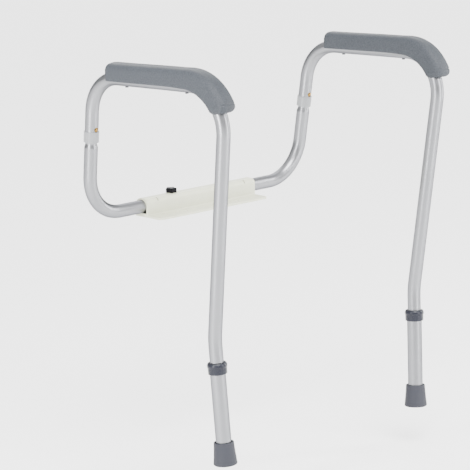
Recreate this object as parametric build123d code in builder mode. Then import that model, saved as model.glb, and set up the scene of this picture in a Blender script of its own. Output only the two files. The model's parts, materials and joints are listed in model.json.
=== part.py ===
"""Toilet safety frame: two bent-tube armrests on a moulded bracket bolted down behind the seat.

Units are mm. The origin is the centre of the seat bolt slots on the bracket's underside.
+Z is up, -Y is the front and the left side is at -X.
"""

from build123d import *
import os
from math import acos, asin, cos, degrees, radians, sin, tan

os.makedirs("parts", exist_ok=True)

# ---- Driving dimensions ----
TUBE_D = 25.4
TUBE_WALL = 2.0
LEG_D = 28.6
LEG_WALL = 1.55
RUN_FIT = 0.05
LOOSE_FIT = 0.3

# Mounting bracket
BRACKET_HALF = 147.5
BRACKET_FRONT = 18.0
BRACKET_BACK = 51.0
BRACKET_H = 35.5
FLANGE_FRONT = -18.0
FLANGE_T = 4.0
ARCH_FRONT_R = 9.5
ARCH_BACK_R = 14.0
FLANGE_CORNER_R = 8.0
FLANGE_ROOT_R = 2.0
END_EDGE_R = 0.8
WEB_HALF = 8.0
BOLT_SPACING = 139.7
SLOT_L = 25.0
SLOT_W = 11.0

# Horizontal run of the rear tubes
RUN_Y = 34.5
RUN_Z = 19.5
RUN_INNER_X = 40.0

# Arm plane: the arms lean outwards by FLARE about a line through the run's corner
CORNER_X = 283.6
FLARE = 2.35
LOWER_BEND_R = 82.0

# Corners of the arm's centre line in its plane: (distance back, height above the run)
REAR_BOTTOM = (34.5, 0.0)
REAR_TOP = (6.0, 270.2)
FRONT_TOP = (-334.4, 282.9)
LEG_BEND = (-288.5, -179.5)
FOOT = (-306.0, -411.8)
ARM_BEND_R = 76.0
LEG_BEND_R = 150.0

# Rear joint, heights above the run along the post
SWAGE_BASE = 125.0
SWAGE_START = 136.0
SWAGE_END = 143.0
SWAGE_ROUND = 5.0
INSERT_TOP = 210.0
COLLAR_BOTTOM = 146.2
COLLAR_TOP = 166.9
ARM_TUBE_END = 151.0
COLLAR_D = 28.6
COLLAR_EDGE_R = 0.8
REAR_BUTTON_H = 171.6

# Spring buttons
BUTTON_D = 8.6
BUTTON_GUIDE_FIT = 0.1
BUTTON_PROUD = 1.8
DOME_H = 1.6
LEAF_W = 6.0
LEAF_T = 0.8
LEAF_OFF = 1.0
LEAF_FOLD = 34.0
LEAF_FOLD_R = 1.6
LEAF_SPREAD = 3.2
LEAF_NEAR_END = 9.0
LEAF_FAR_END = 6.0

# Leg, heights above the foot along the leg
LEG_TUBE_BOTTOM = 7.5
LEG_TUBE_TOP = 186.0
INNER_END = 55.0
LEG_COLLAR_BOTTOM = 170.2
LEG_COLLAR_TOP = 191.0
LEG_COLLAR_D = 35.0
LEG_COLLAR_EDGE_R = 1.2
WAIST_D = 35.6
WAIST_H = 182.0
RIM_D = 37.2
RIM_H = 186.8
RIM_TOP_D = 33.0
RIM_DISH = 2.4
LEG_BUTTON_H = 78.0
HOLE_PITCH = 15.0
HOLES_BELOW = 1
HOLES_ABOVE = 5

# Rubber tip
TIP_H = 43.0
TIP_D = 44.4
TIP_TOP_D = 37.2
TIP_BASE_ROUND = 3.5
TIP_RIM_ROUND = 1.2
TIP_FLOOR = 6.0
WASHER_T = 1.5

# Armrest pad
PAD_W = 38.0
PAD_TOP = 31.0
PAD_BOTTOM = -3.0
PAD_ROUND = 11.0
PAD_LIP_ROUND = 2.5
PAD_REAR = 50.0
PAD_WRAP = 65.5
PAD_OVERRUN = 12.0
PAD_NOSE_TILT = 18.0

# Pad screws, distance back
SCREW_Y = (-83.0, -237.5)
SCREW_D = 4.0
SCREW_HEAD_D = 6.2
SCREW_HEAD_T = 2.0
SCREW_TIP = 24.0

# Width knobs
KNOB_X = 69.0
KNOB_R = 8.5
KNOB_H = 8.8
KNOB_GAP = 0.5
KNOB_ROOF = 3.0
KNOB_EDGE_R = 1.8
KNOB_LOBES = 5
KNOB_LOBE_R = 3.0
KNOB_LOBE_AT = 8.0
BOSS_R = 8.0
BOSS_TOP = 36.0
BOSS_ROOT = 2.0
INSERT_R = 5.0
INSERT_BOTTOM = 33.0
STUD_R = 3.0

# Sight slots across the bracket's front shoulder
SIGHT_X = 119.0
SIGHT_L = 9.0
SIGHT_W = 2.4
SIGHT_DEPTH = 8.0

TUBE_R = TUBE_D / 2
TUBE_ID_R = TUBE_R - TUBE_WALL
INSERT_TUBE_R = TUBE_ID_R - RUN_FIT
LEG_R = LEG_D / 2
LEG_ID_R = LEG_R - LEG_WALL


def save(part, name):
    """Label a finished piece and write its STEP file."""
    part.part.label = name
    export_step(part.part, f"parts/{name}.step")


def arm_plane(side):
    """The plane of one arm: local x runs back, local y runs up the flared arm."""
    lean = radians(FLARE)
    return Plane(
        origin=(side * CORNER_X, 0, RUN_Z),
        x_dir=(0, 1, 0),
        z_dir=(cos(lean), 0, -side * sin(lean)),
    )


def on_arm(side, point):
    """A point of the arm plane in the part's own frame."""
    return arm_plane(side).from_local_coords(Vector(*point))


def axial(point, along, radial):
    """A plane for turned pieces: local x is the radius, local y the axis."""
    return Plane(origin=point, x_dir=radial, z_dir=radial.cross(along))


def cross_plane(point, along):
    """A plane square to an axis."""
    return Plane(origin=point, z_dir=along)


def bend_axis(edge):
    """Axis that a section turns about to follow an arc from its start."""
    centre = edge.arc_center
    spin = (edge @ 0 - centre).cross(edge % 0)
    return Axis(centre, spin)


def bent_tube(path, outer_r, inner_r):
    """Tube along straight runs and arcs: the runs are extruded, the bends revolved."""
    with BuildPart() as tube:
        for edge in path.edges():
            with BuildSketch(cross_plane(edge @ 0, edge % 0)):
                Circle(outer_r)
                Circle(inner_r, mode=Mode.SUBTRACT)
            if edge.geom_type == GeomType.LINE:
                extrude(amount=edge.length)
            else:
                revolve(axis=bend_axis(edge), revolution_arc=degrees(edge.length / edge.radius))
    return tube.part


class Arm:
    """Axes and stations of one arm."""

    def __init__(self, sign):
        self.sign = sign
        self.plane = arm_plane(sign)
        self.normal = self.plane.z_dir
        self.post_foot = on_arm(sign, REAR_BOTTOM)
        self.post_dir = (on_arm(sign, REAR_TOP) - self.post_foot).normalized()
        self.post_front = self.normal.cross(self.post_dir).normalized()
        self.foot = on_arm(sign, FOOT)
        self.leg_dir = (on_arm(sign, LEG_BEND) - self.foot).normalized()
        self.leg_back = self.leg_dir.cross(self.normal).normalized()

    def post(self, height):
        """Point on the rear post's axis."""
        return self.post_foot + self.post_dir * height

    def leg(self, height):
        """Point on the lower leg's axis."""
        return self.foot + self.leg_dir * height


def arm_direction():
    """Unit vector of the armrest run in the arm plane, towards the front."""
    run = Vector(*FRONT_TOP) - Vector(*REAR_TOP)
    return run.normalized()


def along_armrest(back):
    """Point of the armrest's centre line in the arm plane, at a distance back."""
    start = Vector(*REAR_TOP)
    step = arm_direction()
    return start + step * ((back - start.X) / step.X)


def front_turn():
    """Turn of the front top bend in degrees."""
    down = (Vector(*LEG_BEND) - Vector(*FRONT_TOP)).normalized()
    return degrees(acos(arm_direction().dot(down)))


def make_bracket():
    """Cross bar with a bolting flange, end sockets, bolt slots and knob bosses."""
    knob_spots = [(-KNOB_X, RUN_Y), (KNOB_X, RUN_Y)]
    with BuildPart() as bracket:
        with BuildSketch(Plane.YZ.offset(-BRACKET_HALF)):
            with BuildLine():
                Polyline(
                    (FLANGE_FRONT, 0),
                    (BRACKET_BACK, 0),
                    (BRACKET_BACK, BRACKET_H - ARCH_BACK_R),
                )
                RadiusArc(
                    (BRACKET_BACK, BRACKET_H - ARCH_BACK_R),
                    (BRACKET_BACK - ARCH_BACK_R, BRACKET_H),
                    -ARCH_BACK_R,
                )
                Line(
                    (BRACKET_BACK - ARCH_BACK_R, BRACKET_H),
                    (BRACKET_FRONT + ARCH_FRONT_R, BRACKET_H),
                )
                RadiusArc(
                    (BRACKET_FRONT + ARCH_FRONT_R, BRACKET_H),
                    (BRACKET_FRONT, BRACKET_H - ARCH_FRONT_R),
                    -ARCH_FRONT_R,
                )
                Polyline(
                    (BRACKET_FRONT, BRACKET_H - ARCH_FRONT_R),
                    (BRACKET_FRONT, FLANGE_T),
                    (FLANGE_FRONT, FLANGE_T),
                    (FLANGE_FRONT, 0),
                )
            make_face()
        extrude(amount=2 * BRACKET_HALF)
        fillet(bracket.edges().filter_by(Axis.Z).group_by(Axis.Y)[0], radius=FLANGE_CORNER_R)
        inner_corner = bracket.edges().filter_by(Axis.X).filter_by(
            lambda e: abs(e.center().Y - BRACKET_FRONT) < 0.1 and abs(e.center().Z - FLANGE_T) < 0.1
        )
        fillet(inner_corner, radius=FLANGE_ROOT_R)
        ends = bracket.faces().filter_by(Axis.X).edges()
        fillet(ends.filter_by(lambda e: e.center().Z > FLANGE_T + 0.1), radius=END_EDGE_R)
        with BuildSketch(Plane.XY.offset(BRACKET_H - BOSS_ROOT)):
            with Locations(*knob_spots):
                Circle(BOSS_R)
        extrude(amount=BOSS_TOP - BRACKET_H + BOSS_ROOT)
        socket_r = TUBE_R + LOOSE_FIT
        for plane in (
            Plane.YZ.offset(-BRACKET_HALF),
            Plane(origin=(BRACKET_HALF, 0, 0), x_dir=(0, 1, 0), z_dir=(1, 0, 0)),
        ):
            depth = BRACKET_HALF - WEB_HALF
            with BuildSketch(plane):
                with Locations((RUN_Y, RUN_Z)):
                    Circle(socket_r)
                with Locations((RUN_Y, RUN_Z - socket_r / 2)):
                    Rectangle(2 * socket_r, socket_r)
            extrude(amount=depth if plane.origin.X < 0 else -depth, mode=Mode.SUBTRACT)
        with BuildSketch(Plane.XY):
            with GridLocations(BOLT_SPACING, 1, 2, 1):
                SlotOverall(SLOT_L, SLOT_W)
        extrude(amount=FLANGE_T, mode=Mode.SUBTRACT)
        with BuildSketch(Plane.XY.offset(BOSS_TOP)):
            with Locations(*knob_spots):
                Circle(STUD_R + LOOSE_FIT)
        extrude(amount=-(BOSS_TOP - RUN_Z), mode=Mode.SUBTRACT)
        with BuildSketch(Plane.XY.offset(INSERT_BOTTOM)):
            with Locations(*knob_spots):
                Circle(INSERT_R)
        extrude(amount=BOSS_TOP - INSERT_BOTTOM, mode=Mode.SUBTRACT)
        shoulder = Vector(
            0,
            BRACKET_FRONT + ARCH_FRONT_R * (1 - cos(radians(45))),
            BRACKET_H - ARCH_FRONT_R * (1 - sin(radians(45))),
        )
        for x in (-SIGHT_X, SIGHT_X):
            spot = shoulder + Vector(x, 0, 0)
            with BuildSketch(Plane(origin=spot, x_dir=(0, 1, 1), z_dir=(0, -1, 1))):
                SlotOverall(SIGHT_L, SIGHT_W)
            extrude(amount=SIGHT_DEPTH, both=True, mode=Mode.SUBTRACT)
    save(bracket, "mounting_bracket")


def make_rear_tube(arm, name):
    """Lower tube: out of the bracket, round the bend and up, with a swaged top."""
    x_dir = Vector(-arm.sign, 0, 0)
    z_dir = x_dir.cross(arm.post_dir).normalized()
    plane = Plane(origin=arm.post_foot, x_dir=x_dir, z_dir=z_dir)
    top = plane.to_local_coords(arm.post(SWAGE_BASE))
    with BuildLine(plane) as path:
        FilletPolyline(
            (CORNER_X - RUN_INNER_X, 0), (0, 0), (top.X, top.Y), radius=LOWER_BEND_R
        )
    blank = bent_tube(path.line, TUBE_R, TUBE_ID_R)
    with BuildPart() as tube:
        add(blank)
        post_frame = axial(arm.post_foot, arm.post_dir, arm.post_front)
        with BuildSketch(post_frame):
            with BuildLine():
                FilletPolyline(
                    (TUBE_R, SWAGE_BASE),
                    (TUBE_R, SWAGE_START),
                    (INSERT_TUBE_R, SWAGE_END),
                    (INSERT_TUBE_R, INSERT_TOP),
                    radius=SWAGE_ROUND,
                )
                Polyline(
                    (INSERT_TUBE_R, INSERT_TOP),
                    (INSERT_TUBE_R - TUBE_WALL, INSERT_TOP),
                    (INSERT_TUBE_R - TUBE_WALL, SWAGE_END),
                    (TUBE_ID_R, SWAGE_START),
                    (TUBE_ID_R, SWAGE_BASE),
                    (TUBE_R, SWAGE_BASE),
                )
            make_face()
        revolve(axis=Axis(arm.post_foot, arm.post_dir))
        with BuildSketch(cross_plane(arm.post(REAR_BUTTON_H), arm.post_front)):
            Circle(BUTTON_D / 2 + BUTTON_GUIDE_FIT)
        extrude(amount=TUBE_R, mode=Mode.SUBTRACT)
    save(tube, f"{name}_rear_tube")


def make_rear_collar(arm, name):
    """Collar pushed over the arm tube's end, with a lip round the swaged insert."""
    lip_r = INSERT_TUBE_R + RUN_FIT
    with BuildPart() as collar:
        with BuildSketch(axial(arm.post_foot, arm.post_dir, arm.post_front)):
            with BuildLine():
                Polyline(
                    (lip_r, COLLAR_BOTTOM),
                    (COLLAR_D / 2, COLLAR_BOTTOM),
                    (COLLAR_D / 2, COLLAR_TOP),
                    (TUBE_R, COLLAR_TOP),
                    (TUBE_R, ARM_TUBE_END),
                    (lip_r, ARM_TUBE_END),
                    (lip_r, COLLAR_BOTTOM),
                )
            make_face()
        revolve(axis=Axis(arm.post_foot, arm.post_dir))
        outer = collar.edges().filter_by(GeomType.CIRCLE).filter_by(
            lambda e: e.radius > COLLAR_D / 2 - 0.01
        )
        fillet(outer, radius=COLLAR_EDGE_R)
    save(collar, f"{name}_rear_collar")


def make_arm_tube(arm, name):
    """Upper tube: rear post, armrest run, front leg and the inner leg below its bend."""
    start = arm.plane.to_local_coords(arm.post(ARM_TUBE_END))
    end = arm.plane.to_local_coords(arm.leg(INNER_END))
    with BuildLine(arm.plane) as path:
        FilletPolyline(
            (start.X, start.Y),
            REAR_TOP,
            FRONT_TOP,
            LEG_BEND,
            (end.X, end.Y),
            radius=[ARM_BEND_R, ARM_BEND_R, LEG_BEND_R],
        )
    blank = bent_tube(path.line, TUBE_R, TUBE_ID_R)
    with BuildPart() as tube:
        add(blank)
        with BuildSketch(cross_plane(arm.post(REAR_BUTTON_H), arm.post_front)):
            Circle(BUTTON_D / 2 + LOOSE_FIT)
        extrude(amount=2 * TUBE_R, mode=Mode.SUBTRACT)
        with BuildSketch(cross_plane(arm.leg(LEG_BUTTON_H), arm.leg_back)):
            Circle(BUTTON_D / 2 + BUTTON_GUIDE_FIT)
        extrude(amount=2 * TUBE_R, mode=Mode.SUBTRACT)
        for spot, up in screw_places(arm):
            with BuildSketch(cross_plane(spot, up)):
                Circle(SCREW_D / 2)
            extrude(amount=TUBE_R, both=True, mode=Mode.SUBTRACT)
    save(tube, f"{name}_arm_tube")


def screw_places(arm):
    """Where the pad screws cross the tube's axis, and the way they point."""
    step = arm_direction()
    up = Vector(step.Y, -step.X)
    if up.Y < 0:
        up = -up
    up_dir = on_arm(arm.sign, up) - on_arm(arm.sign, (0, 0))
    return [(on_arm(arm.sign, along_armrest(back)), up_dir) for back in SCREW_Y]


def make_pad(arm, name):
    """Foam pad: saddles the armrest run and wraps over the front bend."""
    step = arm_direction()
    start = along_armrest(REAR_TOP[0] - PAD_REAR)
    setback = ARM_BEND_R * tan(radians(front_turn() / 2))
    bend_start = Vector(*FRONT_TOP) - step * setback
    inward = Vector(-step.Y, step.X)
    centre = bend_start + inward * ARM_BEND_R
    with BuildLine(arm.plane) as path:
        Line((start.X, start.Y), (bend_start.X, bend_start.Y))
        CenterArc(
            (centre.X, centre.Y), ARM_BEND_R, degrees(acos(-inward.X)), PAD_WRAP + PAD_OVERRUN
        )
    with BuildPart() as pad:
        for edge in path.line.edges():
            with BuildSketch(Plane(origin=edge @ 0, x_dir=arm.normal, z_dir=edge % 0)):
                with Locations((0, (PAD_TOP + PAD_BOTTOM) / 2)):
                    block = Rectangle(PAD_W, PAD_TOP - PAD_BOTTOM)
                fillet(block.vertices().group_by(Axis.Y)[-1], radius=PAD_ROUND)
                fillet(block.vertices().group_by(Axis.Y)[0], radius=PAD_LIP_ROUND)
                Circle(TUBE_R + RUN_FIT, mode=Mode.SUBTRACT)
            if edge.geom_type == GeomType.LINE:
                extrude(amount=edge.length)
            else:
                revolve(axis=bend_axis(edge), revolution_arc=PAD_WRAP + PAD_OVERRUN)
        bend = path.line.edges().filter_by(GeomType.CIRCLE)[0]
        share = PAD_WRAP / (PAD_WRAP + PAD_OVERRUN)
        tilt = radians(PAD_NOSE_TILT)
        tangent = bend % share
        outward = (bend @ share - bend.arc_center).normalized()
        nose = tangent * cos(tilt) - outward * sin(tilt)
        split(bisect_by=Plane(origin=bend @ share, z_dir=nose), keep=Keep.BOTTOM)
        for spot, up in screw_places(arm):
            with BuildSketch(cross_plane(spot, up)):
                Circle(SCREW_D / 2)
            extrude(amount=SCREW_TIP, mode=Mode.SUBTRACT)
    save(pad, f"{name}_armrest_pad")


def make_pad_screws(arm, name):
    """Two pan-head screws, up through the tube into the pad."""
    with BuildPart() as screws:
        for spot, up in screw_places(arm):
            with BuildSketch(cross_plane(spot - up * (TUBE_R + SCREW_HEAD_T), up)):
                Circle(SCREW_HEAD_D / 2)
            extrude(amount=SCREW_HEAD_T)
            with BuildSketch(cross_plane(spot - up * (TUBE_R + 0.5), up)):
                Circle(SCREW_D / 2)
            extrude(amount=TUBE_R + 0.5 + SCREW_TIP)
    save(screws, f"{name}_pad_screws")


def make_leg_extension(arm, name):
    """Outer leg tube with its row of length holes at the back."""
    with BuildPart() as tube:
        with BuildSketch(cross_plane(arm.leg(LEG_TUBE_BOTTOM), arm.leg_dir)):
            Circle(LEG_R)
            Circle(LEG_ID_R, mode=Mode.SUBTRACT)
        extrude(amount=LEG_TUBE_TOP - LEG_TUBE_BOTTOM)
        for hole in range(-HOLES_BELOW, HOLES_ABOVE + 1):
            spot = arm.leg(LEG_BUTTON_H + hole * HOLE_PITCH)
            with BuildSketch(cross_plane(spot, arm.leg_back)):
                Circle(BUTTON_D / 2 + LOOSE_FIT)
            extrude(amount=2 * LEG_R, mode=Mode.SUBTRACT)
    save(tube, f"{name}_leg_extension")


def make_leg_collar(arm, name):
    """Collar over the extension's top: a thick rolled rim and a lip round the inner tube."""
    lip_r = TUBE_R + RUN_FIT
    with BuildPart() as collar:
        with BuildSketch(axial(arm.foot, arm.leg_dir, arm.leg_back)):
            with BuildLine():
                Polyline(
                    (LEG_R, LEG_COLLAR_BOTTOM),
                    (LEG_COLLAR_D / 2, LEG_COLLAR_BOTTOM),
                    (WAIST_D / 2, WAIST_H),
                )
                ThreePointArc(
                    (WAIST_D / 2, WAIST_H), (RIM_D / 2, RIM_H), (RIM_TOP_D / 2, LEG_COLLAR_TOP)
                )
                Polyline(
                    (RIM_TOP_D / 2, LEG_COLLAR_TOP),
                    (lip_r, LEG_COLLAR_TOP - RIM_DISH),
                    (lip_r, LEG_TUBE_TOP),
                    (LEG_R, LEG_TUBE_TOP),
                    (LEG_R, LEG_COLLAR_BOTTOM),
                )
            make_face()
        revolve(axis=Axis(arm.foot, arm.leg_dir))
        foot_edge = collar.edges().filter_by(GeomType.CIRCLE).filter_by(
            lambda e: abs(e.radius - LEG_COLLAR_D / 2) < 0.01
        )
        fillet(foot_edge, radius=LEG_COLLAR_EDGE_R)
    save(collar, f"{name}_leg_collar")


def make_button(point, out, along, bore_r, reach, name):
    """Domed spring pin that stands on its leaf and pokes out of the tube."""
    foot_r = bore_r - LEAF_OFF
    sphere_r = ((BUTTON_D / 2) ** 2 + DOME_H**2) / (2 * DOME_H)
    half_turn = asin(BUTTON_D / 2 / sphere_r) / 2
    mid_dome = (sphere_r * sin(half_turn), reach - sphere_r * (1 - cos(half_turn)))
    with BuildPart() as button:
        with BuildSketch(axial(point, out, along)):
            with BuildLine():
                Line((0, foot_r), (BUTTON_D / 2, foot_r))
                Line((BUTTON_D / 2, foot_r), (BUTTON_D / 2, reach - DOME_H))
                ThreePointArc((BUTTON_D / 2, reach - DOME_H), mid_dome, (0, reach))
                Line((0, reach), (0, foot_r))
            make_face()
        revolve(axis=Axis(point, out))
    save(button, name)


def make_leaf(point, out, along, bore_r, name):
    """Folded spring strip under a button: one leg flat on the wall, one leg sprung away."""
    near = bore_r - LEAF_OFF - LEAF_T / 2
    with BuildPart() as leaf:
        with BuildSketch(Plane(origin=point, x_dir=out, z_dir=out.cross(along))):
            with BuildLine():
                FilletPolyline(
                    (near, LEAF_NEAR_END),
                    (near, -LEAF_FOLD),
                    (-LEAF_SPREAD, LEAF_FAR_END),
                    radius=LEAF_FOLD_R,
                )
            trace(line_width=LEAF_T)
        extrude(amount=LEAF_W / 2, both=True)
    save(leaf, name)


def make_tip(arm, name):
    """Flared rubber tip with a blind bore for the leg tube."""
    with BuildPart() as tip:
        with BuildSketch(axial(arm.foot, arm.leg_dir, arm.leg_back)):
            with BuildLine():
                Polyline(
                    (0, 0),
                    (TIP_D / 2, 0),
                    (TIP_TOP_D / 2, TIP_H),
                    (LEG_R, TIP_H),
                    (LEG_R, TIP_FLOOR),
                    (0, TIP_FLOOR),
                    (0, 0),
                )
            make_face()
        revolve(axis=Axis(arm.foot, arm.leg_dir))
        rims = tip.edges().filter_by(GeomType.CIRCLE).filter_by(lambda e: e.radius > LEG_R + 0.1)
        rims = rims.sort_by(Axis(arm.foot, arm.leg_dir))
        fillet(rims[0], radius=TIP_BASE_ROUND)
        fillet(rims[-1], radius=TIP_RIM_ROUND)
    save(tip, f"{name}_rubber_tip")


def make_tip_washer(arm, name):
    """Steel washer between the tip's floor and the leg tube's end."""
    with BuildPart() as washer:
        with BuildSketch(cross_plane(arm.leg(TIP_FLOOR), arm.leg_dir)):
            Circle(LEG_R)
            Circle(LEG_R / 3, mode=Mode.SUBTRACT)
        extrude(amount=WASHER_T)
    save(washer, f"{name}_tip_washer")


def make_knob(arm, name):
    """Lobed hand knob with a blind hole for its stud."""
    bottom = BOSS_TOP + KNOB_GAP
    with BuildPart() as knob:
        with BuildSketch(Plane.XY.offset(bottom)):
            with Locations((arm.sign * KNOB_X, RUN_Y)):
                Circle(KNOB_R)
                with PolarLocations(KNOB_LOBE_AT, KNOB_LOBES, start_angle=90):
                    Circle(KNOB_LOBE_R)
        extrude(amount=KNOB_H)
        fillet(knob.faces().sort_by(Axis.Z)[-1].edges(), radius=KNOB_EDGE_R)
        with BuildSketch(Plane.XY.offset(bottom)):
            with Locations((arm.sign * KNOB_X, RUN_Y)):
                Circle(STUD_R)
        extrude(amount=KNOB_H - KNOB_ROOF, mode=Mode.SUBTRACT)
    save(knob, f"{name}_width_knob")

    stud_bottom = RUN_Z + TUBE_R + LOOSE_FIT
    with BuildPart() as stud:
        with BuildSketch(Plane.XY.offset(stud_bottom)):
            with Locations((arm.sign * KNOB_X, RUN_Y)):
                Circle(STUD_R)
        extrude(amount=bottom + KNOB_H - KNOB_ROOF - stud_bottom)
    save(stud, f"{name}_knob_stud")

    with BuildPart() as insert:
        with BuildSketch(Plane.XY.offset(INSERT_BOTTOM)):
            with Locations((arm.sign * KNOB_X, RUN_Y)):
                Circle(INSERT_R)
                Circle(STUD_R + RUN_FIT, mode=Mode.SUBTRACT)
        extrude(amount=BOSS_TOP - INSERT_BOTTOM)
    save(insert, f"{name}_knob_insert")


make_bracket()
for sign, label in ((-1, "left"), (1, "right")):
    arm = Arm(sign)
    make_rear_tube(arm, label)
    make_rear_collar(arm, label)
    make_arm_tube(arm, label)
    make_pad(arm, label)
    make_pad_screws(arm, label)
    make_leg_extension(arm, label)
    make_leg_collar(arm, label)
    make_tip(arm, label)
    make_tip_washer(arm, label)
    make_knob(arm, label)
    make_button(
        arm.post(REAR_BUTTON_H), arm.post_front, arm.post_dir,
        INSERT_TUBE_R - TUBE_WALL, TUBE_R + BUTTON_PROUD, f"{label}_rear_button",
    )
    make_leaf(
        arm.post(REAR_BUTTON_H), arm.post_front, arm.post_dir,
        INSERT_TUBE_R - TUBE_WALL, f"{label}_rear_leaf",
    )
    make_button(
        arm.leg(LEG_BUTTON_H), arm.leg_back, arm.leg_dir,
        TUBE_ID_R, LEG_R + BUTTON_PROUD, f"{label}_leg_button",
    )
    make_leaf(
        arm.leg(LEG_BUTTON_H), arm.leg_back, -arm.leg_dir, TUBE_ID_R, f"{label}_leg_leaf"
    )
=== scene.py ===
"""Looks for the toilet safety frame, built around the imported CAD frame. Metres, +Z up, -Y front."""

import json
import math

import bmesh
import bpy
from mathutils import Matrix, Vector


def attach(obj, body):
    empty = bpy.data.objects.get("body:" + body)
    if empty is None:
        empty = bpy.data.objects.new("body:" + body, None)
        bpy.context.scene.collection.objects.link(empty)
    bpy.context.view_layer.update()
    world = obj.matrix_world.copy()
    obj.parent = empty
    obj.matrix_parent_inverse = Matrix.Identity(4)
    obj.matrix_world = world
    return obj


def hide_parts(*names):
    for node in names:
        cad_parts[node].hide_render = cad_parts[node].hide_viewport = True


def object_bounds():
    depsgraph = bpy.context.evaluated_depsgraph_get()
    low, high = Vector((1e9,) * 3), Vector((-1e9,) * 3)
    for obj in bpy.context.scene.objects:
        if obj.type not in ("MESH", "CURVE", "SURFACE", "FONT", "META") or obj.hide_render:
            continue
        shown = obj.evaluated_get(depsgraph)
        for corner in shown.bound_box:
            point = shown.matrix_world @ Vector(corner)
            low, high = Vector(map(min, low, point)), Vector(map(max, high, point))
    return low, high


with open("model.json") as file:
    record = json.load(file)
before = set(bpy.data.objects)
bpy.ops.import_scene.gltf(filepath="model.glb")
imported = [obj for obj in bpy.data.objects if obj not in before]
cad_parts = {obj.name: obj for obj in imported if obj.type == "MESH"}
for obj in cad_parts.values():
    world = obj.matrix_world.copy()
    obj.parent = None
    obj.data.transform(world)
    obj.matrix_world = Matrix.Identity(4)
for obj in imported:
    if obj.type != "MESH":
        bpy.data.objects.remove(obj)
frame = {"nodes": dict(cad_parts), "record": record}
cad_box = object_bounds()

MM = 0.001
SIDES = (("left", -1), ("right", 1))

# Arm plane and the armrest's centre line, as in the CAD model
CORNER_X = 283.6 * MM
RUN_Z = 19.5 * MM
FLARE = math.radians(2.35)
REAR_TOP = Vector((6.0, 270.2)) * MM
FRONT_TOP = Vector((-334.4, 282.9)) * MM
LEG_BEND = Vector((-288.5, -179.5)) * MM
BEND_R = 76.0 * MM
TUBE_R = 12.7 * MM

# Armrest pad
PAD_HALF = 19.0 * MM
PAD_TOPS = ((0.0, 29.2 * MM), (0.62, 31.0 * MM), (0.84, 32.6 * MM), (1.0, 31.5 * MM))
PAD_LIPS = ((0.0, -3.4 * MM), (0.55, -2.6 * MM), (0.85, -5.6 * MM), (1.0, -5.0 * MM))
PAD_ROUND = 11.0 * MM
PAD_LIP_ROUND = 2.5 * MM
PAD_REAR = 50.0 * MM
PAD_WRAP = math.radians(65.5)
PAD_TILT = math.radians(17.0)
PAD_CROWN = 0.7 * MM
CROWN_ON_SIDE = 0.6
CROWN_HALFWAY = 0.75
PAD_FLAT_LEAST = 1.0 * MM
PAD_END_STEPS = 12
PAD_BODY_STEPS = 90
REAR_ROUNDS = {"top": 9.0 * MM, "side": 5.0 * MM, "lip": 2.0 * MM}
NOSE_ROUNDS = {"top": 13.0 * MM, "side": 8.0 * MM, "lip": 6.0 * MM}
LINE_FROM_NOSE = 11.0 * MM
LINE_WIDTH = 1.6 * MM
LINE_DEPTH = 0.9 * MM
LINE_REACH = 1.6
LINE_STEPS = 4
CHANNEL_GAP = 0.02 * MM

# Rubber tip, heights above the foot
TIP_H = 43.0 * MM
TIP_BASE_R = 22.2 * MM
TIP_TOP_R = 18.6 * MM
TIP_BORE_R = 14.35 * MM
TIP_FLOOR = 6.0 * MM
TIP_DRAW = 0.2 * MM
TIP_HOLLOW = 0.25 * MM
TIP_FOOT_ROUND = 3.0 * MM
TIP_MOUTH_ROUND = 1.4 * MM
TIP_MOUTH_DEPTH = 3.0 * MM
TIP_WALL_STEPS = 12
TIP_SPOKES = 64
TREAD_DEPTH = 1.2 * MM
TREAD_RINGS = 4
TREAD_MARGIN = 3.0 * MM
TREAD_SHARE = 0.55
TREAD_SLOPE = 0.15 * MM
TREAD_RIM_ROOT = 4.2 * MM
TREAD_RIM = 4.0 * MM

# Floor, and how far a leg can be drawn out above it
FLOOR_HALF = 60.0
FLOOR_COLOR = (0.90, 0.90, 0.90)
LEG_TRAVEL = 75.0 * MM

# Camera: where it stands, which way it looks and how long its lens is
CAMERA_AT = (-3.3735, -3.3519, 0.9758)
CAMERA_AZIMUTH = math.radians(-45.79)
CAMERA_PITCH = math.radians(12.215)
SENSOR = 36.0
CAMERA_LENS = 191.7

# Lights: the dome's strength, its horizon's share of that, the height where it is full,
# the suns' direction and power, and the soft boxes' place, size and power
DOME_LIGHT = 1.8
HORIZON_LIGHT = 0.3
DOME_FULL = 0.75
SUN_SPREAD = math.radians(40)
SUNS = {"key_sun": ((0.6, 0.9, -1.6), 6.9), "back_sun": ((-0.8, -1.0, -0.9), 2.0)}
BOXES_AIM = (0, -0.15, 0.30)
SOFT_BOXES = {
    "left_box": ((-1.95, -0.30, 0.60), (0.32, 1.9), 66),
    "front_box": ((0.55, -2.00, 0.60), (0.50, 1.9), 42),
    "right_box": ((2.10, -1.20, 0.70), (0.32, 1.9), 55),
}


# ---- Materials ----
def material(name, color, roughness, metallic=0.0, **sockets):
    """A Principled material with its constants on the shader's own sockets."""
    mat = bpy.data.materials.new(name)
    mat.use_nodes = True
    shader = mat.node_tree.nodes["Principled BSDF"]
    shader.inputs["Base Color"].default_value = (*color, 1)
    shader.inputs["Roughness"].default_value = roughness
    shader.inputs["Metallic"].default_value = metallic
    for socket, value in sockets.items():
        shader.inputs[socket.replace("_", " ")].default_value = value
    return mat


def noise(mat, scale, detail=3.0, stretch=(1, 1, 1)):
    """A noise texture in object space, with its mapping."""
    nodes, links = mat.node_tree.nodes, mat.node_tree.links
    coords = nodes.new("ShaderNodeTexCoord")
    mapping = nodes.new("ShaderNodeMapping")
    mapping.inputs["Scale"].default_value = stretch
    tex = nodes.new("ShaderNodeTexNoise")
    tex.inputs["Scale"].default_value = scale
    tex.inputs["Detail"].default_value = detail
    links.new(coords.outputs["Object"], mapping.inputs["Vector"])
    links.new(mapping.outputs["Vector"], tex.inputs["Vector"])
    return tex


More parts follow.
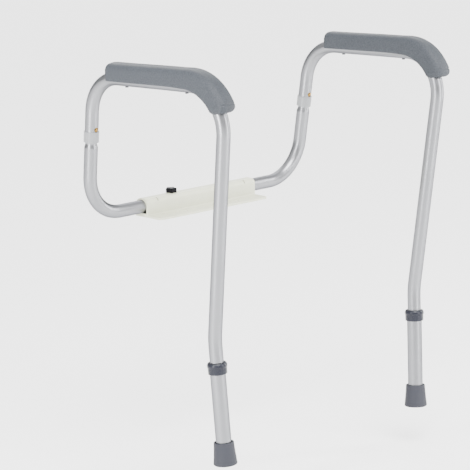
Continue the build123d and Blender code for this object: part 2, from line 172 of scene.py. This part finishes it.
def vary_color(mat, tex, dark, light):
    """Base colour that wanders between two shades."""
    nodes, links = mat.node_tree.nodes, mat.node_tree.links
    ramp = nodes.new("ShaderNodeValToRGB")
    ramp.color_ramp.elements[0].position = 0.3
    ramp.color_ramp.elements[0].color = (*dark, 1)
    ramp.color_ramp.elements[1].position = 0.7
    ramp.color_ramp.elements[1].color = (*light, 1)
    links.new(tex.outputs["Fac"], ramp.inputs["Fac"])
    links.new(ramp.outputs["Color"], nodes["Principled BSDF"].inputs["Base Color"])


def vary_roughness(mat, tex, low, high):
    """Roughness that wanders between two values."""
    nodes, links = mat.node_tree.nodes, mat.node_tree.links
    span = nodes.new("ShaderNodeMapRange")
    span.inputs["To Min"].default_value = low
    span.inputs["To Max"].default_value = high
    links.new(tex.outputs["Fac"], span.inputs["Value"])
    links.new(span.outputs["Result"], nodes["Principled BSDF"].inputs["Roughness"])


def bump(mat, tex, strength, distance):
    """Fine relief from a texture."""
    nodes, links = mat.node_tree.nodes, mat.node_tree.links
    relief = nodes.new("ShaderNodeBump")
    relief.inputs["Strength"].default_value = strength
    relief.inputs["Distance"].default_value = distance
    links.new(tex.outputs["Fac"], relief.inputs["Height"])
    links.new(relief.outputs["Normal"], nodes["Principled BSDF"].inputs["Normal"])


def shade(color, factor):
    """A colour made lighter or darker."""
    return tuple(min(1.0, c * factor) for c in color)


def satin_aluminium():
    """Satin anodised tube, drawn along its length, with painted shade on its grazing edges through a
    dark specular tint.
    """
    color = (0.24, 0.243, 0.254)
    mat = material("satin_aluminium", color, 0.3, metallic=1.0)
    shader = mat.node_tree.nodes["Principled BSDF"]
    # Painted shade: the dark specular tint darkens the tube's grazing edges.
    shader.inputs["Specular Tint"].default_value = (0.25, 0.25, 0.27, 1)
    vary_color(mat, noise(mat, 60, stretch=(1, 1, 0.15)), shade(color, 0.98), shade(color, 1.02))
    vary_roughness(mat, noise(mat, 90, stretch=(1, 1, 0.2)), 0.32, 0.36)
    bump(mat, noise(mat, 2500, detail=2), 0.01, 0.00003)
    return mat


def foam_skin():
    """Grained skin of moulded foam."""
    color = (0.032, 0.036, 0.0425)
    mat = material("foam_skin", color, 0.55, Specular_IOR_Level=0.25)
    vary_color(mat, noise(mat, 480, detail=4), shade(color, 0.70), shade(color, 1.30))
    vary_roughness(mat, noise(mat, 300), 0.5, 0.64)
    bump(mat, noise(mat, 1100, detail=4), 0.35, 0.0004)
    return mat


def moulded(name, color, roughness, gloss=0.5, grain=700, relief=0.12):
    """Moulded plastic or rubber with a fine grain."""
    mat = material(name, color, roughness, Specular_IOR_Level=gloss)
    vary_color(mat, noise(mat, 70, detail=4), shade(color, 0.97), shade(color, 1.03))
    vary_roughness(mat, noise(mat, 220), roughness - 0.05, roughness + 0.06)
    bump(mat, noise(mat, grain, detail=3), relief, 0.0003)
    return mat


def metal(name, color, roughness):
    """Plain metal for small fittings."""
    mat = material(name, color, roughness, metallic=1.0)
    vary_color(mat, noise(mat, 300), shade(color, 0.94), shade(color, 1.04))
    vary_roughness(mat, noise(mat, 600), roughness - 0.05, roughness + 0.06)
    return mat


MATERIALS = {
    "tube": satin_aluminium(),
    "pad": foam_skin(),
    "bracket_plastic": moulded("cream_plastic", (0.50, 0.51, 0.39), 0.4),
    "pale_collar": moulded("pale_plastic", (0.19, 0.195, 0.202), 0.3, relief=0.05),
    "dark_collar": moulded("dark_plastic", (0.013, 0.014, 0.020), 0.26, gloss=0.2, relief=0.03),
    "tip_rubber": moulded("tip_rubber", (0.026, 0.027, 0.034), 0.58, gloss=0.2, grain=1200, relief=0.25),
    "brass": metal("brass", (0.22, 0.13, 0.035), 0.26),
    "spring_steel": metal("spring_steel", (0.60, 0.60, 0.62), 0.3),
    # Screw heads drawn near-black.
    "screw_steel": metal("near_black_screw_metal", (0.04, 0.04, 0.045), 0.42),
    "knob_black": moulded("black_plastic", (0.003, 0.003, 0.004), 0.4, gloss=0.06),
}


def dress_cad_nodes():
    """Give every carried-over CAD node the material of its record slot."""
    for part in frame["record"]["subparts"]:
        node = frame["nodes"][part["node"]]
        for slot in node.material_slots:
            slot.material = MATERIALS[part["material_slot"]]


# ---- Shared mesh tools ----
def new_piece(name, verts, faces, slot, smooth_angle=40):
    """A mesh piece with outward normals, smooth shading and its slot's material."""
    mesh = bpy.data.meshes.new(name)
    mesh.from_pydata(verts, [], faces)
    work = bmesh.new()
    work.from_mesh(mesh)
    bmesh.ops.remove_doubles(work, verts=work.verts, dist=1e-6)
    bmesh.ops.recalc_face_normals(work, faces=work.faces)
    work.to_mesh(mesh)
    work.free()
    for face in mesh.polygons:
        face.use_smooth = True
    mesh.set_sharp_from_angle(angle=math.radians(smooth_angle))
    mesh.materials.append(MATERIALS[slot])
    piece = bpy.data.objects.new(name, mesh)
    bpy.context.scene.collection.objects.link(piece)
    return piece


def arm_axes(sign):
    """Origin and upward axis of one arm's plane."""
    return Vector((sign * CORNER_X, 0, RUN_Z)), Vector((sign * math.sin(FLARE), 0, math.cos(FLARE)))


def arc(center, radius, start, stop, steps):
    """Points on a circular arc, both ends included."""
    turns = [start + (stop - start) * i / steps for i in range(steps + 1)]
    return [(center[0] + radius * math.cos(a), center[1] + radius * math.sin(a)) for a in turns]


# ---- Armrest pads ----
def draw_in(distance, radius):
    """How far a surface has rounded in at a distance from the pad's end."""
    if distance >= radius:
        return 0.0
    return radius - math.sqrt(max(0.0, radius**2 - (radius - distance) ** 2))


def along_pad(stops, share):
    """A size that changes smoothly between stops along the pad."""
    for (start, low), (stop, high) in zip(stops, stops[1:]):
        if share <= stop:
            t = (share - start) / (stop - start)
            return low + (high - low) * t * t * (3 - 2 * t)
    return stops[-1][1]


def pad_section(half, top, bottom, groove):
    """Outer and channel curves of the pad's section, point for point, left edge to right edge."""
    channel_r = TUBE_R + CHANNEL_GAP
    edge = math.asin(bottom / channel_r)
    lip = (-half + PAD_LIP_ROUND, bottom + PAD_LIP_ROUND)
    shoulder_r = min(PAD_ROUND, half - PAD_FLAT_LEAST)
    shoulder = (-half + shoulder_r, top - shoulder_r)
    outer = [(-channel_r * math.cos(edge), bottom)]
    outer += arc(lip, PAD_LIP_ROUND, -math.pi / 2, -math.pi, 5)
    outer += [(-half - PAD_CROWN * CROWN_ON_SIDE, (lip[1] + shoulder[1]) / 2)]
    outer += arc(shoulder, shoulder_r, math.pi, math.pi / 2, 12)
    outer += [(shoulder[0] * 0.5, top + PAD_CROWN * CROWN_HALFWAY), (0.0, top + PAD_CROWN)]
    flat = half - shoulder_r
    fades = [max(0.0, min(1.0, LINE_REACH + (flat + x) / shoulder_r)) for x, _ in outer]
    outer = [(x, y - groove * fade if y > 0 else y) for (x, y), fade in zip(outer, fades)]
    outer += [(-x, y) for x, y in reversed(outer[:-1])]
    channel = arc((0, 0), channel_r, math.pi - edge, edge, len(outer) - 1)
    return outer, channel


def pad_distances(length):
    """Even stations with close ones at both rounded ends and at the moulded line."""
    steps = [1 - math.cos(math.pi / 2 * i / PAD_END_STEPS) for i in range(PAD_END_STEPS + 1)]
    rear = [REAR_ROUNDS["top"] * k for k in steps]
    nose = [length - NOSE_ROUNDS["top"] * k for k in steps]
    line = length - LINE_FROM_NOSE
    groove = [line + LINE_WIDTH * k / LINE_STEPS for k in range(-LINE_STEPS, LINE_STEPS + 1)]
    first, last = REAR_ROUNDS["top"], length - NOSE_ROUNDS["top"]
    body = [first + (last - first) * i / PAD_BODY_STEPS for i in range(1, PAD_BODY_STEPS)]
    return sorted(set(rear + body + groove + nose))


def pad_rings(origin, up):
    """Closed rings of points along the armrest run and round the front bend, rear to front."""
    back = Vector((0, 1, 0))
    normal = back.cross(up)
    step = (FRONT_TOP - REAR_TOP).normalized()
    down = (LEG_BEND - FRONT_TOP).normalized()
    bend_start = FRONT_TOP - step * BEND_R * math.tan(math.acos(step.dot(down)) / 2)
    start = REAR_TOP - step / step.x * PAD_REAR
    run = (bend_start - start).length
    outward = Vector((step.y, -step.x))
    center = bend_start - outward * BEND_R
    length = run + BEND_R * PAD_WRAP
    for s in pad_distances(length):
        ends = ((s, REAR_ROUNDS), (length - s, NOSE_ROUNDS))
        inset = {k: max(draw_in(d, rounds[k]) for d, rounds in ends) for k in NOSE_ROUNDS}
        off_line = abs(s - (length - LINE_FROM_NOSE)) / LINE_WIDTH
        groove = LINE_DEPTH * 0.5 * (1 + math.cos(math.pi * min(1.0, off_line)))
        top = along_pad(PAD_TOPS, s / length) - inset["top"]
        bottom = along_pad(PAD_LIPS, s / length) + inset["lip"]
        outer, channel = pad_section(PAD_HALF - inset["side"], top, bottom, groove)
        share = max(0.0, (s - run) / (length - run))
        lean = math.tan(PAD_TILT) * share * share * (3 - 2 * share)
        ring = []
        for x, y in outer + channel[::-1]:
            if s <= run:
                spot = start + step * s + outward * y
            else:
                angle = (s - run) / BEND_R + y * lean / (BEND_R + y)
                spot = center + Matrix.Rotation(angle, 2) @ outward * (BEND_R + y)
            ring.append(origin + back * spot.x + up * spot.y + normal * x)
        yield ring


def make_pad(label, sign):
    """Moulded foam pad: a crowned saddle section lofted along the run and over the front bend."""
    origin, up = arm_axes(sign)
    rings = list(pad_rings(origin, up))
    size = len(rings[0])
    verts = [point for ring in rings for point in ring]
    faces = []
    for r in range(len(rings) - 1):
        a, b = r * size, (r + 1) * size
        faces += [(a + i, a + (i + 1) % size, b + (i + 1) % size, b + i) for i in range(size)]
    for base in (0, (len(rings) - 1) * size):
        for i in range(size // 2 - 1):
            far = size - 1 - i
            faces.append((base + i, base + i + 1, base + far - 1, base + far))
    piece = new_piece(f"{label}_pad_foam", verts, faces, "pad", smooth_angle=60)
    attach(piece, f"{label}_arm")
    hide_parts(f"{label}_armrest_pad")


# ---- Rubber tips ----
def tip_profile():
    """Half section of the tip: tread underneath, tapered wall, rounded mouth and bore."""
    points = [(0.0, TREAD_DEPTH)]
    pitch = (TIP_BASE_R - TREAD_MARGIN) / (TREAD_RINGS + 0.5)
    for ring in range(TREAD_RINGS):
        inner = pitch * (ring + 0.5)
        outer = inner + pitch * TREAD_SHARE
        points += [(inner, TREAD_DEPTH), (inner + TREAD_SLOPE, 0)]
        points += [(outer, 0), (outer + TREAD_SLOPE, TREAD_DEPTH)]
    points += [(TIP_BASE_R - TREAD_RIM_ROOT, TREAD_DEPTH), (TIP_BASE_R - TREAD_RIM, 0)]
    wall_r = TIP_BASE_R - TIP_DRAW
    wall_h = TIP_H - TIP_FOOT_ROUND - TIP_MOUTH_ROUND
    foot = (wall_r - TIP_FOOT_ROUND, TIP_FOOT_ROUND)
    points += arc(foot, TIP_FOOT_ROUND, -math.pi / 2, 0, 7)
    for i in range(1, TIP_WALL_STEPS):
        t = i / TIP_WALL_STEPS
        r = wall_r + (TIP_TOP_R - wall_r) * t - TIP_HOLLOW * math.sin(math.pi * t)
        points.append((r, TIP_FOOT_ROUND + wall_h * t))
    mouth = (TIP_TOP_R - TIP_MOUTH_ROUND, TIP_H - TIP_MOUTH_ROUND)
    points += arc(mouth, TIP_MOUTH_ROUND, 0, math.pi, 10)
    points += [(TIP_BORE_R, TIP_H - TIP_MOUTH_DEPTH), (TIP_BORE_R, TIP_FLOOR), (0.0, TIP_FLOOR)]
    return points


def make_tip(label):
    """Tapered rubber foot turned about the leg's axis."""
    joint = next(j for j in frame["record"]["behaviour"]["joints"] if j["name"] == f"{label}_leg_length")
    foot = next(m for m in frame["record"]["mounts"] if m["name"] == f"{label}_foot")
    rise = -Vector(joint["axis"]).normalized()
    base = Vector(foot["pos_m"])
    side = rise.orthogonal().normalized()
    across = rise.cross(side)
    profile = tip_profile()
    verts = []
    for k in range(TIP_SPOKES):
        a = 2 * math.pi * k / TIP_SPOKES
        radial = side * math.cos(a) + across * math.sin(a)
        verts += [base + radial * r + rise * z for r, z in profile]
    faces = []
    rows = len(profile)
    for k in range(TIP_SPOKES):
        a, b = k * rows, ((k + 1) % TIP_SPOKES) * rows
        faces += [(a + i, b + i, b + i + 1, a + i + 1) for i in range(rows - 1)]
    piece = new_piece(f"{label}_tip_tread", verts, faces, "tip_rubber", smooth_angle=50)
    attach(piece, f"{label}_leg")
    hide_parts(f"{label}_rubber_tip")


# ---- Stage ----
def make_floor():
    """Plain pale floor, low enough for the legs at their longest."""
    low = cad_box[0][2] - LEG_TRAVEL
    corners = [(x * FLOOR_HALF, y * FLOOR_HALF, low) for x, y in ((-1, -1), (1, -1), (1, 1), (-1, 1))]
    mesh = bpy.data.meshes.new("floor")
    mesh.from_pydata(corners, [], [(0, 1, 2, 3)])
    mesh.materials.append(material("floor_paper", FLOOR_COLOR, 0.9))
    floor = bpy.data.objects.new("floor", mesh)
    bpy.context.scene.collection.objects.link(floor)


def area_light(name, at, size, power):
    """Soft box that faces the part."""
    data = bpy.data.lights.new(name, "AREA")
    data.shape = "RECTANGLE"
    data.size, data.size_y = size
    data.energy = power
    light = bpy.data.objects.new(name, data)
    light.location = at
    light.visible_camera = False
    light.rotation_euler = (Vector(BOXES_AIM) - Vector(at)).to_track_quat("-Z", "Y").to_euler()
    bpy.context.scene.collection.objects.link(light)


def make_lights():
    """Bright studio: a dome that darkens to the horizon, two soft suns and tall soft boxes."""
    world = bpy.data.worlds.new("studio")
    world.use_nodes = True
    nodes, links = world.node_tree.nodes, world.node_tree.links
    coords = nodes.new("ShaderNodeTexCoord")
    split = nodes.new("ShaderNodeSeparateXYZ")
    ramp = nodes.new("ShaderNodeValToRGB")
    low, high = ramp.color_ramp.elements
    low.position, low.color = 0.0, (*(HORIZON_LIGHT,) * 3, 1)
    high.position, high.color = DOME_FULL, (1, 1, 1, 1)
    links.new(coords.outputs["Generated"], split.inputs["Vector"])
    links.new(split.outputs["Z"], ramp.inputs["Fac"])
    backdrop = nodes["Background"]
    backdrop.inputs["Strength"].default_value = DOME_LIGHT
    links.new(ramp.outputs["Color"], backdrop.inputs["Color"])
    bpy.context.scene.world = world
    for name, (way, power) in SUNS.items():
        data = bpy.data.lights.new(name, "SUN")
        data.energy = power
        data.angle = SUN_SPREAD
        sun = bpy.data.objects.new(name, data)
        sun.rotation_euler = Vector(way).to_track_quat("-Z", "Y").to_euler()
        bpy.context.scene.collection.objects.link(sun)
    for name, (at, size, power) in SOFT_BOXES.items():
        area_light(name, at, size, power)


def make_camera():
    """Long lens from the front left, a little above."""
    flat = math.cos(CAMERA_PITCH)
    toward_camera = Vector(
        (math.sin(CAMERA_AZIMUTH) * flat, -math.cos(CAMERA_AZIMUTH) * flat, math.sin(CAMERA_PITCH))
    )
    right = Vector((math.cos(CAMERA_AZIMUTH), math.sin(CAMERA_AZIMUTH), 0))
    above = toward_camera.cross(right)
    data = bpy.data.cameras.new("camera")
    data.sensor_width = SENSOR
    data.lens = CAMERA_LENS
    data.clip_end = 200
    camera = bpy.data.objects.new("camera", data)
    turn = Matrix((right, above, toward_camera)).transposed().to_4x4()
    camera.matrix_world = Matrix.Translation(CAMERA_AT) @ turn
    bpy.context.scene.collection.objects.link(camera)
    bpy.context.scene.camera = camera


make_camera()
dress_cad_nodes()
for label, sign in SIDES:
    make_pad(label, sign)
    make_tip(label)
make_floor()
make_lights()
